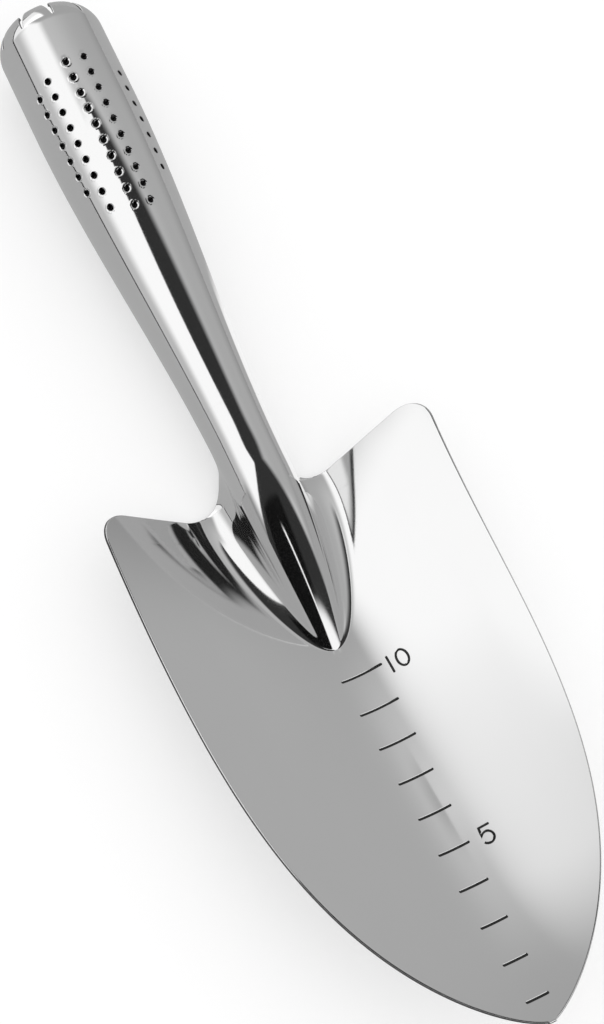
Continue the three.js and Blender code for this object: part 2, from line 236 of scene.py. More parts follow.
# Studio light: the even light on everything, and how bright each card is in the polish. A change
# is added to the brightness of what the card lies on.
PLAIN_LIGHT = 1.1
GREY_WALL = 0.45
RIGHT_CHANGE = -0.14
BACK_CHANGE = -0.04
FRONT_LEFT_CHANGE = 0.19
FRONT_RIGHT_CHANGE = 0.38
DARK_TOP = 0.03
WHITE_WALL = 1.12
GREYING = 0.55
FRONT_GREYING = 0.27
WHITE_BACK_CHANGE = 0.4
DARK_FRONT = 0.003
LAMP = 1.1
BLACK_SKIRTING = 0.01
INNER_GREY = 0.48
INNER_LEFT_CHANGE = -0.465
INNER_RIGHT_CHANGE = 0.6

# Camera: place in metres, turn in degrees, lens in millimetres, shift in parts of the frame
CAMERA_PLACE = (-0.12501, -0.14273, 0.43714)
CAMERA_TURN = (21.28, -7.739, -25.594)
CAMERA_LENS = 65.0
CAMERA_SHIFT = (0.0075, 0.0364)
CAMERA_NEAR = 0.01


# ---------------------------------------------------------------- small helpers


def lerp(a, b, t):
    return a + (b - a) * t


def smoothstep(value, start, end):
    t = np.clip((value - start) / (end - start), 0, 1)
    return t * t * (3 - 2 * t)


def unit(vectors):
    length = np.linalg.norm(vectors, axis=-1, keepdims=True)
    return vectors / np.maximum(length, 1e-12)


def spaced(start, end, steps, power=1.0):
    """Places from start up to, but without, end. A power above 1 packs them at the start."""
    return [lerp(start, end, (i / steps) ** power) for i in range(steps)]


def tilted(points):
    """Turns points of the tool's frame to how the tool lies on the ground."""
    x, y, z = np.moveaxis(np.asarray(points, float), -1, 0)
    along = y * math.cos(REST_TILT) + z * math.sin(REST_TILT)
    up = z * math.cos(REST_TILT) - y * math.sin(REST_TILT)
    return np.stack([x, along, up], -1)


def from_handle(points):
    """Takes points of the handle's axis frame (x, along, up) to the tool's frame."""
    x, s, up = np.moveaxis(np.asarray(points, float), -1, 0)
    y = BLADE_LENGTH + s * math.cos(AXIS_RISE) - up * math.sin(AXIS_RISE)
    z = AXIS_Z + s * math.sin(AXIS_RISE) + up * math.cos(AXIS_RISE)
    return np.stack([x, y, z], -1)


def turned_with_handle(vectors):
    """Turns directions of the handle's axis frame to the tool's frame."""
    return from_handle(vectors) - from_handle(np.zeros(3))


# ---------------------------------------------------------------- blade and neck shapes


def blade_half_width(y):
    """A rounded point at the tip, long nearly straight sides and a round shoulder at the top."""
    outline = (1 - (1 - y / BLADE_LENGTH) ** OUTLINE_POWER) ** OUTLINE_ROOT
    into = min(max((y - BLADE_LENGTH + SHOULDER_RADIUS) / SHOULDER_RADIUS, 0), 1)
    shoulder = SHOULDER_RADIUS * (1 - math.sqrt(1 - into**2))
    return max(TIP_HALF_WIDTH, BLADE_HALF_WIDTH * outline - shoulder)


def dish_z(y):
    """Height of the blade's middle line, before the tongue is raised from it."""
    return DISH[0] * y + DISH[1] * y**2 + DISH[2] * y**3


def fold_steepness(y):
    return FOLD_SLOPE + FOLD_GAIN * (y / BLADE_LENGTH) ** FOLD_POWER


def fold_z(x, y):
    """Height of the folded blade: round in the middle, then nearly flat wings."""
    return dish_z(y) + fold_steepness(y) * (np.hypot(x, FOLD_RADIUS) - FOLD_RADIUS)


def fold_angle(x, y):
    return math.atan(fold_steepness(y) * x / math.hypot(x, FOLD_RADIUS))


def fold_normal(x, y):
    """Upward normal of the folded blade, where the tongue doesn't rise from it."""
    step = SLOPE_STEP
    slope_x = (fold_z(x + step, y) - fold_z(x - step, y)) / (2 * step)
    slope_y = (fold_z(x, y + step) - fold_z(x, y - step)) / (2 * step)
    return unit(np.stack([-slope_x, -slope_y, np.ones_like(slope_x)], -1))


def handle_radius(s):
    """Radius of the handle at this place along its axis, before its domed end."""
    return lerp(NECK_RADIUS, GRIP_RADIUS, smoothstep(s, TAPER_START, TAPER_END))


def crest_z(y):
    """The tongue's crest leaves the blade at the nose and arrives in line with the handle."""
    span = BLADE_LENGTH - NOSE_Y
    t = (y - NOSE_Y) / span
    low = dish_z(NOSE_Y)
    high = AXIS_Z + NECK_RADIUS
    leave = NOSE_RISE * span
    arrive = math.tan(AXIS_RISE) * span
    ends = low * (1 + 2 * t) * (1 - t) ** 2 + high * t**2 * (3 - 2 * t)
    return ends + leave * t * (1 - t) ** 2 - arrive * t**2 * (1 - t)


def blade_section(y):
    """Half a cross-section of the blade: an arch over the tongue, a fillet and the folded wing.

    Up to the nose there is only the wing. Beyond it, the fillet's foot is moved out by halving
    until the fillet just touches the arch.
    """
    c = SimpleNamespace(y=y, radius=0, centre=0, bend=0)
    c.fillet = c.fillet_x = c.fillet_z = c.foot = c.slope = 0
    if y > NOSE_Y:
        ease = math.sin((y - NOSE_Y) / (BLADE_LENGTH - NOSE_Y) * math.pi / 2)
        c.radius = lerp(NOSE_RADIUS, NECK_RADIUS, ease)
        c.fillet = lerp(NOSE_FILLET, NECK_FILLET, ease)
        c.centre = crest_z(y) - c.radius
        near, far = 0.0, BLADE_HALF_WIDTH
        for _ in range(HALVINGS):
            c.foot = (near + far) / 2
            c.slope = fold_angle(c.foot, y)
            c.fillet_x = c.foot - c.fillet * math.sin(c.slope)
            c.fillet_z = fold_z(c.foot, y) + c.fillet * math.cos(c.slope)
            if math.hypot(c.fillet_x, c.fillet_z - c.centre) > c.radius + c.fillet:
                far = c.foot
            else:
                near = c.foot
        c.bend = math.atan2(c.fillet_x, c.fillet_z - c.centre)
    c.arch_reach = c.radius * c.bend
    c.foot_reach = c.arch_reach + c.fillet * (c.bend + c.slope)
    c.reach = c.foot_reach + (blade_half_width(y) - c.foot) / math.cos(c.slope)
    return c


def on_section(c, reach):
    """The x and z of the points that lie these reaches from the crest, along the section."""
    angle = reach / max(c.radius, TINY)
    arch = (c.radius * np.sin(angle), c.centre + c.radius * np.cos(angle))
    heading = (reach - c.arch_reach) / max(c.fillet, TINY) - c.bend
    fillet = (c.fillet_x + c.fillet * np.sin(heading), c.fillet_z - c.fillet * np.cos(heading))
    wing_x = c.foot + (reach - c.foot_reach) * math.cos(c.slope)
    wing = (wing_x, fold_z(wing_x, c.y))
    on_arch = reach < c.arch_reach
    on_fillet = reach < c.foot_reach
    return [np.where(on_arch, arch[i], np.where(on_fillet, fillet[i], wing[i])) for i in (0, 1)]


# The neck goes on from the columns of the blade's last row up to the valley's bottom.
top_section = blade_section(BLADE_LENGTH)
valley_reach = top_section.arch_reach + top_section.fillet * top_section.bend
NECK_COLUMNS = round(HALF_COLUMNS * valley_reach / top_section.reach)
corner_reach = top_section.reach * NECK_COLUMNS / HALF_COLUMNS


def blade_row(y):
    """One row of points across the blade, evenly spaced along its section."""
    section = blade_section(y)
    column = np.arange(-HALF_COLUMNS, HALF_COLUMNS + 1)
    x, z = on_section(section, section.reach * np.abs(column) / HALF_COLUMNS)
    return np.stack([np.sign(column) * x, np.full(len(column), y), z], -1)


def neck_reach(s):
    """How far the neck's sheet reaches from its crest.

    It turns a rounded corner in from the blade's top edge, then goes out again until the two
    edges nearly meet underneath.
    """
    corner = NECK_CORNER * math.sqrt(1 - (1 - min(s / NECK_CORNER, 1)) ** 2)
    closed = math.pi * handle_radius(NECK_LENGTH) - GAP
    closing = smoothstep(s, NECK_CORNER, NECK_LENGTH)
    return corner_reach - corner + (closed - corner_reach + NECK_CORNER) * closing


def neck_row(s):
    """The neck's arch, then a skirt that flares out at the blade and curls in to a tube."""
    radius = handle_radius(s)
    before = blade_section(BLADE_LENGTH - BEND_STEP)
    bend_rate = (top_section.bend - before.bend) / BEND_STEP
    bend = top_section.bend + bend_rate * s * math.exp(-s / BEND_FADE)
    curl = lerp(-1 / NECK_FILLET, 1 / radius, smoothstep(s, 0, CURL_LENGTH))
    lean = AXIS_RISE * smoothstep(s, 0, LEAN_LENGTH)
    column = np.arange(-NECK_COLUMNS, NECK_COLUMNS + 1)
    reach = neck_reach(s) * np.abs(column) / NECK_COLUMNS
    on_arch = np.minimum(reach / radius, bend)
    end = on_arch + curl * np.maximum(reach - radius * bend, 0)
    x = radius * np.sin(on_arch) + (np.sin(end) - np.sin(on_arch)) / curl
    up = radius * np.cos(on_arch) + (np.cos(end) - np.cos(on_arch)) / curl
    y = BLADE_LENGTH + s * math.cos(AXIS_RISE) - up * math.sin(lean)
    z = AXIS_Z + s * math.sin(AXIS_RISE) + up * math.cos(lean)
    return np.stack([np.sign(column) * x, y, z], -1)


# ---------------------------------------------------------------- sheets with a thickness


def grid_normals(points, rows):
    """Normals of a grid of points whose rows lie at these places along it."""
    along = np.gradient(points, rows, axis=0, edge_order=2)
    across = np.gradient(points, axis=1, edge_order=2)
    return unit(np.cross(across, along))


def grid_faces(ids):
    """Quads between the rows of a grid of point numbers."""
    quads = np.stack([ids[:-1, :-1], ids[:-1, 1:], ids[1:, 1:], ids[1:, :-1]], -1)
    return quads.reshape(-1, 4)


def rim_loops(faces):
    """The free edges of an open surface, as closed loops of point numbers, in the faces' sense."""
    edges = np.concatenate([np.stack([faces[:, i], faces[:, (i + 1) % 4]], -1) for i in range(4)])
    directed = set(map(tuple, edges.tolist()))
    following = {a: b for a, b in directed if (b, a) not in directed}
    loops = []
    while following:
        first = min(following)
        loop = [first]
        here = following.pop(first)
        while here != first:
            loop.append(here)
            here = following.pop(here)
        loops.append(np.array(loop))
    return loops


def thicken(points, normals, faces):
    """Gives an open surface the sheet's thickness at its back and rounds its free edges.

    The last list returned says which faces are the sheet's cut edge, below the upper rounding,
    which is polished like the skin.
    """
    count = len(points)
    all_points = [points, points - SHEET * normals]
    all_normals = [normals, -normals]
    all_faces = [faces, faces[:, ::-1] + count]
    cut = [np.zeros(2 * len(faces), int)]
    start = 2 * count
    quarter = [math.pi / 2 * (i + 1) / EDGE_STEPS for i in range(EDGE_STEPS)]
    profile = [(turn, EDGE_ROUND * (1 - math.cos(turn))) for turn in quarter]
    profile += [(math.pi - turn, SHEET - depth) for turn, depth in reversed(profile)]
    for loop in rim_loops(faces):
        chord = np.roll(points[loop], -1, 0) - np.roll(points[loop], 1, 0)
        out = unit(np.cross(unit(chord), normals[loop]))
        rings = [loop]
        for turn, depth in profile:
            reach = EDGE_ROUND * math.sin(turn)
            all_points.append(points[loop] + reach * out - depth * normals[loop])
            all_normals.append(math.cos(turn) * normals[loop] + math.sin(turn) * out)
            rings.append(np.arange(start, start + len(loop)))
            start += len(loop)
        rings.append(loop + count)
        for band, (upper, lower) in enumerate(zip(rings, rings[1:])):
            all_faces.append(np.stack([np.roll(upper, -1), upper, lower, np.roll(lower, -1)], -1))
            cut.append(np.full(len(loop), int(band >= EDGE_STEPS)))
    normals = unit(np.concatenate(all_normals))
    return np.concatenate(all_points), normals, np.concatenate(all_faces), np.concatenate(cut)


def blade_surface():
    """Upper skin of the blade and neck: points, normals and faces."""
    shoulder_y = BLADE_LENGTH - SHOULDER_RADIUS
    blade_y = spaced(0, NOSE_Y, BLADE_STEPS, BLADE_PACKING)
    blade_y += spaced(NOSE_Y + NOSE_LEAD, shoulder_y, TONGUE_STEPS, TONGUE_PACKING)
    blade_y += [
        shoulder_y + SHOULDER_RADIUS * math.sin(i / SHOULDER_STEPS * math.pi / 2)
        for i in range(SHOULDER_STEPS + 1)
    ]
    neck_s = [
        NECK_CORNER * (1 - math.cos(i / CORNER_STEPS * math.pi / 2))
        for i in range(1, CORNER_STEPS + 1)
    ]
    neck_s += spaced(NECK_CORNER, NECK_LENGTH, NECK_STEPS)[1:] + [NECK_LENGTH]

    blade = np.stack([blade_row(y) for y in blade_y])
    neck = np.stack([neck_row(s) for s in neck_s])
    middle = slice(HALF_COLUMNS - NECK_COLUMNS, HALF_COLUMNS + NECK_COLUMNS + 1)
    whole = np.concatenate([blade[:, middle], neck])
    blade_normals = grid_normals(blade, np.array(blade_y))
    whole_normals = grid_normals(whole, np.array(blade_y + [BLADE_LENGTH + s for s in neck_s]))
    blade_normals[:, middle] = whole_normals[: len(blade_y)]
    neck_normals = whole_normals[len(blade_y) :]

    blade_ids = np.arange(blade[..., 0].size).reshape(blade.shape[:2])
    neck_ids = blade_ids.size + np.arange(neck[..., 0].size).reshape(neck.shape[:2])
    joint_ids = np.concatenate([blade_ids[-1:, middle], neck_ids])
    points = np.concatenate([blade.reshape(-1, 3), neck.reshape(-1, 3)])
    normals = np.concatenate([blade_normals.reshape(-1, 3), neck_normals.reshape(-1, 3)])
    return points, normals, np.concatenate([grid_faces(blade_ids), grid_faces(joint_ids)])


# ---------------------------------------------------------------- handle shapes


def wall_profile(s):
    """Radius of the handle's outer wall at these places along its axis."""
    dome_length = (HANDLE_END - DOME_START) / math.sin(DOME_TURN)
    dome_drop = (GRIP_RADIUS - RIM_RADIUS) / (1 - math.cos(DOME_TURN))
    turn = np.arcsin(np.clip((s - DOME_START) / dome_length, 0, 1))
    return handle_radius(s) - dome_drop * (1 - np.cos(turn))


def dimple_places():
    """Place along the axis and angle from the top of every dimple."""
    for degrees, first, count in DIMPLE_COLUMNS:
        for row in range(count):
            yield DIMPLE_END - (first + row) * DIMPLE_PITCH, math.radians(degrees)


def pit_depth(s, angle):
    """How deep the dimples are there, from 0 to 1. Each has a slight lip, where it is below 0."""
    depth = np.zeros_like(s)
    for dimple_s, dimple_angle in dimple_places():
        away = np.hypot(s - dimple_s, GRIP_RADIUS * (angle - dimple_angle)) / DIMPLE_RADIUS
        depth += (1 - np.minimum(away, 1) ** 2) ** 2
        depth -= LIP_HEIGHT * np.exp(-(((away - LIP_PLACE) / LIP_WIDTH) ** 2))
    return depth


def handle_wall(s, angle):
    """Points on the dimpled outer wall, by place along the axis and angle from the top."""
    radius = wall_profile(s) - DIMPLE_DEPTH * pit_depth(s, angle)
    return np.stack([radius * np.sin(angle), s, radius * np.cos(angle)], -1)


def handle_normals(s, angle):
    step = DIMPLE_SLOPE_STEP
    along = handle_wall(s + step, angle) - handle_wall(s - step, angle)
    turn = step / GRIP_RADIUS
    around = handle_wall(s, angle + turn) - handle_wall(s, angle - turn)
    return unit(np.cross(around, along))


def notch_half_gap(s):
    """Half the gap between two petals: round at its root, then widening to its mouth."""
    root = HANDLE_END - NOTCH_DEPTH
    if s < root:
        into = min((root - s) / (NOTCH_ROOT / 2), 1)
        return NOTCH_ROOT / 2 * math.sqrt(1 - into**2)
    return lerp(NOTCH_ROOT, NOTCH_MOUTH, (s - root) / NOTCH_DEPTH) / 2


def handle_surface():
    """Outer skin of the handle tube: points, normals and faces, in the handle's axis frame.

    It is made in strips, one for each petal. Neighbours share their edge up to the notch between
    them, but the first and the last strip leave the seam's slot open underneath.
    """
    root = HANDLE_END - NOTCH_DEPTH
    notch_start = root - NOTCH_ROOT / 2
    rows = spaced(TUBE_START, DIMPLED_START, PLAIN_STEPS)
    rows += spaced(DIMPLED_START, DIMPLED_STOP, DIMPLED_STEPS)
    rows += spaced(DIMPLED_STOP, DOME_START, TAIL_STEPS)
    rows += spaced(DOME_START, notch_start, DOME_STEPS)
    turns = [i / ROOT_STEPS * math.pi / 2 for i in range(ROOT_STEPS)]
    rows += [root - NOTCH_ROOT / 2 * math.cos(turn) for turn in turns]
    rows += spaced(root, HANDLE_END, PETAL_STEPS) + [HANDLE_END]
    gaps = np.array([notch_half_gap(s) for s in rows])
    rows = np.array(rows)
    radii = wall_profile(rows)

    points, normals, faces = [], [], []
    count = 0
    shared = None
    for petal in range(PETALS):
        middle = math.pi * (2 * petal + 1 - PETALS) / PETALS
        steps = DIMPLED_COLUMNS if abs(middle) < DIMPLED_ARC else PLAIN_COLUMNS
        left = np.maximum(gaps, SEAM_SLOT / 2) if petal == 0 else gaps
        right = np.maximum(gaps, SEAM_SLOT / 2) if petal == PETALS - 1 else gaps
        start = middle - math.pi / PETALS + left / radii
        end = middle + math.pi / PETALS - right / radii
        share = np.linspace(0, 1, steps + 1)
        angle = start[:, None] + (end - start)[:, None] * share
        s = np.repeat(rows[:, None], steps + 1, 1)
        ids = count + np.arange(s.size).reshape(s.shape)
        if shared is not None:
            ids[:, 0] = np.where(gaps > 0, ids[:, 0], shared)
        shared = ids[:, -1]
        count += s.size
        points.append(handle_wall(s, angle).reshape(-1, 3))
        normals.append(handle_normals(s, angle).reshape(-1, 3))
        faces.append(grid_faces(ids))
    return used_points(np.concatenate(points), np.concatenate(normals), np.concatenate(faces))


def used_points(points, normals, faces):
    """Leaves out the points that no face uses."""
    used, renumbered = np.unique(faces, return_inverse=True)
    return points[used], normals[used], renumbered.reshape(faces.shape)


def tube_faces(rows, columns):
    """Quads of a surface that closes both ways."""
    ids = np.arange(rows * columns).reshape(rows, columns)
    closed = np.concatenate([ids, ids[:1]])
    closed = np.concatenate([closed, closed[:, :1]], 1)
    return grid_faces(closed)


def neck_weld_surface():
    """A ground-down ring bead over the joint of the neck and the tube, in the axis frame."""
    low = NECK_LENGTH - WELD_LAP - EDGE_ROUND
    high = TUBE_START + WELD_LAP + EDGE_ROUND
    top = [(s, WELD_PROUD) for s in np.linspace(low, high, RING_ROWS)]
    profile = [*top, (high, -WELD_DEPTH), (low, -WELD_DEPTH)]
    angles = np.arange(RING_COLUMNS) * 2 * math.pi / RING_COLUMNS
    sine, cosine = np.sin(angles), np.cos(angles)
    rings = []
    normals = []
    for s, lift in profile:
        radius = handle_radius(s) + lift
        rise = handle_radius(s + SLOPE_STEP) - handle_radius(s - SLOPE_STEP)
        lean = np.full(RING_COLUMNS, -rise / (2 * SLOPE_STEP))
        rings.append(np.stack([radius * sine, np.full(RING_COLUMNS, s), radius * cosine], -1))
        normals.append(np.stack([sine, lean, cosine], -1))
    faces = tube_faces(len(profile), RING_COLUMNS)
    return np.concatenate(rings), unit(np.concatenate(normals)), faces


def seam_weld_surface():
    """The closing weld along the underside of the handle: points, sides and the two end faces."""
    start, end = TUBE_START + GAP, HANDLE_END - NOTCH_DEPTH - SEAM_STOP
    rows = np.linspace(start, end, SEAM_ROWS)
    half = SEAM_SLOT / 2 + WELD_LAP
    across = np.linspace(-half, half, SEAM_COLUMNS)
    lift = WELD_PROUD * (1 - (across / half) ** 2)
    top = np.stack([across, lift], -1)
    loop = np.concatenate([top, [[half, -WELD_DEPTH], [-half, -WELD_DEPTH]]])
    rings = []
    for s in rows:
        ripple = RIPPLE_HEIGHT * abs(math.sin(math.pi * s / RIPPLE_PITCH))
        radius = handle_radius(s) + loop[:, 1] + ripple * (loop[:, 1] > 0)
        angle = math.pi + loop[:, 0] / handle_radius(s)
        ring = [radius * np.sin(angle), np.full(len(loop), s), radius * np.cos(angle)]
        rings.append(np.stack(ring, -1))
    points = np.stack(rings)
    ids = np.arange(len(rows) * len(loop)).reshape(len(rows), len(loop))
    sides = grid_faces(np.concatenate([ids, ids[:, :1]], 1))
    return points.reshape(-1, 3), sides, [ids[0][::-1].tolist(), ids[-1].tolist()]


# ---------------------------------------------------------------- depth scale shapes


def arc(centre, radius, start, end, steps):
    """Points on an arc, both ends included."""
    angles = [lerp(start, end, i / steps) for i in range(steps + 1)]
    return [(centre[0] + radius * math.cos(a), centre[1] + radius * math.sin(a)) for a in angles]


def stroke_outline(line, half_width):
    """Closed outline of a stroke with round ends and mitred corners, beside a line of points."""
    line = np.array(line, float)
    along = unit(np.diff(line, axis=0))
    before = np.concatenate([along[:1], along])
    after = np.concatenate([along, along[-1:]])
    mitre = unit(before + after)
    side = np.stack([-mitre[:, 1], mitre[:, 0]], -1)
    reach = half_width / np.maximum((before * mitre).sum(1, keepdims=True), MITRE_LIMIT)
    left = line + side * reach
    right = line - side * reach
    turn = math.pi / 2
    heading = math.atan2(along[-1, 1], along[-1, 0])
    end_cap = arc(line[-1], half_width, heading - turn, heading + turn, CAP_STEPS)[1:-1]
    heading = math.atan2(along[0, 1], along[0, 0])
    start_cap = arc(line[0], half_width, heading + turn, heading + 3 * turn, CAP_STEPS)[1:-1]
    return [*right.tolist(), *end_cap, *left[::-1].tolist(), *start_cap]


def mark_y(number):
    """How far from the tip a mark lies. The marks are numbered from 1."""
    return FIRST_MARK_Y + MARK_PITCH * (number - 1)


def mark_line(number):
    """A mark's middle line. Each mark reaches a little further right than the one before."""
    left = MARK_LEFT + LINE_WIDTH / 2
    right = MARK_RIGHT + MARK_GROWTH * (number - 1) - LINE_WIDTH / 2
    y = mark_y(number)
    return [(lerp(left, right, i / MARK_STEPS), y) for i in range(MARK_STEPS + 1)]


DIGIT_HALF = (DIGIT_HEIGHT - DIGIT_WIDTH) / 2


def one_line(x, y):
    """A plain upright stroke."""
    return [(x, y - DIGIT_HALF), (x, y), (x, y + DIGIT_HALF)]


def five_line(x, y):
    """The five in one stroke: its bar, its stem and its bowl."""
    top = y + DIGIT_HALF
    bowl = arc((x, y + BOWL_RADIUS - DIGIT_HALF), BOWL_RADIUS, BOWL_TURN, -BOWL_TURN, BOWL_STEPS)
    return [(x + BOWL_RADIUS, top), (bowl[0][0] + STEM_LEAN, top), *bowl]


def zero_rings(x, y, half_width):
    """Outer and inner outline of the nought."""
    rings = []
    for grow in (half_width, -half_width):
        wide = ZERO_RADIUS + grow
        tall = DIGIT_HALF + grow
        turns = [2 * math.pi * i / ZERO_STEPS for i in range(ZERO_STEPS)]
        rings.append([(x + wide * math.cos(t), y + tall * math.sin(t)) for t in turns])
    return rings


def scale_shapes():
    """Every stroke of the scale: its name, the CAD node it stands for, its width and its line.

    The nought has no line: it is a ring.
    """
    shapes = []
    for number in range(1, MARKS + 1):
        name, node = f"ink_line_{number:02d}", f"depth_mark_{number:02d}"
        shapes.append((name, node, LINE_WIDTH, mark_line(number)))
    one = one_line(ONE_X, mark_y(10) - DIGIT_DROP_10)
    five = five_line(FIVE_X, mark_y(5) - DIGIT_DROP_5)
    shapes.append(("ink_one", "numeral_10_one", DIGIT_WIDTH, one))
    shapes.append(("ink_nought", "numeral_10_zero", DIGIT_WIDTH, None))
    shapes.append(("ink_five", "numeral_5", DIGIT_WIDTH, five))
    return shapes


def shape_rings(line, half_width):
    """A shape's outline, and the nought's inner one."""
    if line is None:
        return zero_rings(ZERO_X, mark_y(10) - DIGIT_DROP_10, half_width)
    return [stroke_outline(line, half_width)]


def on_blade(outline, depth):
    """Points of an outline at a depth below the blade's surface."""
    x, y = np.array(outline).T
    base = np.stack([x, y, fold_z(x, y)], -1)
    return base - depth * fold_normal(x, y)


def carved(layers, line):
    """A closed solid between two depths. layers are (half width, depth) from the top down."""
    mesh = bmesh.new()
    levels = []
    for half_width, depth in layers:
        rings = shape_rings(line, half_width)
        levels.append([[mesh.verts.new(p) for p in on_blade(ring, depth)] for ring in rings])
    for upper, lower in zip(levels, levels[1:]):
        for ring_up, ring_low in zip(upper, lower):
            for i in range(len(ring_up)):
                j = (i + 1) % len(ring_up)
                mesh.faces.new((ring_up[i], ring_low[i], ring_low[j], ring_up[j]))
    for level in (levels[0], levels[-1]):
        if len(level) == 1:
            mesh.faces.new(level[0])
            continue
        outer, inner = level
        for i in range(len(outer)):
            j = (i + 1) % len(outer)
            mesh.faces.new((outer[i], outer[j], inner[j], inner[i]))
    bmesh.ops.triangulate(mesh, faces=[f for f in mesh.faces if len(f.verts) > 4])
    bmesh.ops.recalc_face_normals(mesh, faces=mesh.faces)
    return mesh


# ---------------------------------------------------------------- meshes


# The tilted blade's lowest corner goes to that of its CAD node.
blade_points, blade_normals, blade_faces = blade_surface()
both_skins = np.concatenate([blade_points, blade_points - SHEET * blade_normals])
SHIFT = np.array(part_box("blade")[0]) / MM - tilted(both_skins).min(0)


def lay_down(points):
    """From the tool's frame in millimetres to the row frame in metres."""
    return (tilted(points) + SHIFT) * MM


def lay_down_matrix():
    """The same move as lay_down(), as a matrix."""
    turn = Matrix.Rotation(-REST_TILT, 4, "X")
    return Matrix.Translation(Vector(SHIFT * MM)) @ turn @ Matrix.Scale(MM, 4)


def new_object(name, points, faces, materials, normals=None, slots=None):
    """A smooth mesh object. slots says which material each face has."""
    mesh = bpy.data.meshes.new(name)
    mesh.from_pydata([tuple(p) for p in points], [], [tuple(f) for f in faces])
    mesh.update()
    for material in materials:
        mesh.materials.append(material)
    if slots is not None:
        mesh.polygons.foreach_set("material_index", slots)
    mesh.polygons.foreach_set("use_smooth", [True] * len(mesh.polygons))
    if normals is not None:
        mesh.normals_split_custom_set_from_vertices(tilted(normals))
    obj = bpy.data.objects.new(name, mesh)
    bpy.context.scene.collection.objects.link(obj)
    return obj


def from_bmesh(name, shape, material):
    """A laid-down object of a bmesh in the tool's frame, which it uses up."""
    points = [tuple(v.co) for v in shape.verts]
    shape.verts.index_update()
    faces = [[v.index for v in f.verts] for f in shape.faces]
    shape.free()
    return new_object(name, lay_down(points), faces, [material])


def finished(piece, node):
    """Hangs a piece on the root body and hides the CAD node it stands for."""
    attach(piece, "root")
    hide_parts(node)


def carve_scale(blade, smooth_points, smooth_normals):
    """Cuts the scale's grooves into the blade and gives the rest its smooth normals back."""
    cutter_mesh = bpy.data.meshes.new("grooves")
    together = bmesh.new()
    for _, _, width, line in scale_shapes():
        half = width / 2
        mouth = (half + 3 * GROOVE_FLARE, -2 * GROOVE_FLARE)
        layers = [mouth, (half, GROOVE_FLARE), (half, INK_DEPTH + GROOVE_ROOM)]
        shape = carved(layers, line)
        single = bpy.data.meshes.new("groove")
        shape.to_mesh(single)
        shape.free()
        together.from_mesh(single)
    together.to_mesh(cutter_mesh)
    together.free()
    cutter_mesh.transform(lay_down_matrix())
    cutter = bpy.data.objects.new("grooves", cutter_mesh)
    bpy.context.scene.collection.objects.link(cutter)
    cut = blade.modifiers.new("grooves", "BOOLEAN")
    cut.operation = "DIFFERENCE"
    cut.solver = "EXACT"
    cut.object = cutter
    depsgraph = bpy.context.evaluated_depsgraph_get()
    carved_mesh = bpy.data.meshes.new_from_object(blade.evaluated_get(depsgraph))
    blade.modifiers.clear()
    blade.data = carved_mesh
    bpy.data.objects.remove(cutter)
    restore_normals(carved_mesh, smooth_points, smooth_normals)


def values_of(things, name, width=1, kind=float):
    """One attribute of every vertex, loop or face of a mesh, as an array."""
    values = np.empty(len(things) * width, kind)
    things.foreach_get(name, values)
    return values.reshape(-1, width) if width > 1 else values


def restore_normals(mesh, smooth_points, smooth_normals):
    """Gives a cut mesh the smooth normals it had before.

    A point that the cut made takes the normal of the folded blade there. A corner whose face
    lies at an angle to that, such as on a groove's wall, takes the face's own normal.
    """
    tree = KDTree(len(smooth_points))
    for i, point in enumerate(lay_down(smooth_points)):
        tree.insert(point, i)
    tree.balance()
    turned = tilted(smooth_normals)
    places = values_of(mesh.vertices, "co", 3)
    inverse = lay_down_matrix().inverted()
    best = np.zeros_like(places)
    for i, place in enumerate(places):
        _, near, away = tree.find(place)
        if away < SAME_POINT:
            best[i] = turned[near]
            continue
        x, y, _ = inverse @ Vector(place)
        best[i] = tilted(fold_normal(np.array([x]), np.array([y])))[0]
    smooth = best[values_of(mesh.loops, "vertex_index", kind=int)]
    sizes = values_of(mesh.polygons, "loop_total", kind=int)
    flat = np.repeat(values_of(mesh.polygons, "normal", 3), sizes, 0)
    turned_away = (smooth * flat).sum(1) < SAME_DIRECTION
    smooth[turned_away] = flat[turned_away]
    mesh.polygons.foreach_set("use_smooth", [True] * len(mesh.polygons))
    mesh.normals_split_custom_set(smooth)


# ---------------------------------------------------------------- materials


class Wire:
    """A number in a node tree. Plain sums of wires and numbers become its Math nodes."""

    def __init__(self, tree, source):
        self.tree = tree
        self.source = source

    def math(self, operation, *others):
        node = self.tree.nodes.new("ShaderNodeMath")
        node.operation = operation
        for socket, value in zip(node.inputs, (self, *others)):
            if isinstance(value, Wire):
                self.tree.links.new(value.source, socket)
            else:
                socket.default_value = value
        return Wire(self.tree, node.outputs[0])

    def __add__(self, other):
        return self.math("ADD", other)

    def __sub__(self, other):
        return self.math("SUBTRACT", other)

    def __mul__(self, other):
        return self.math("MULTIPLY", other)

    def __truediv__(self, other):
        return self.math("DIVIDE", other)

    def rise(self, start, end):
        """Goes smoothly from 0 at start to 1 at end, which may lie below start."""
        node = self.tree.nodes.new("ShaderNodeMapRange")
        node.interpolation_type = "SMOOTHSTEP"
        node.inputs["From Min"].default_value = min(start, end)
        node.inputs["From Max"].default_value = max(start, end)
        node.inputs["To Min"].default_value = float(start > end)
        node.inputs["To Max"].default_value = float(start < end)
        self.tree.links.new(self.source, node.inputs["Value"])
        return Wire(self.tree, node.outputs["Result"])

    def mixed(self, other, share):
        """This value where share is 0, and other where it is 1."""
        return self * (share * -1 + 1) + share * other


def split_wires(tree, vector):
    """The x, y and z of a vector output."""
    split = tree.nodes.new("ShaderNodeSeparateXYZ")
    tree.links.new(vector, split.inputs[0])
    return [Wire(tree, output) for output in split.outputs]


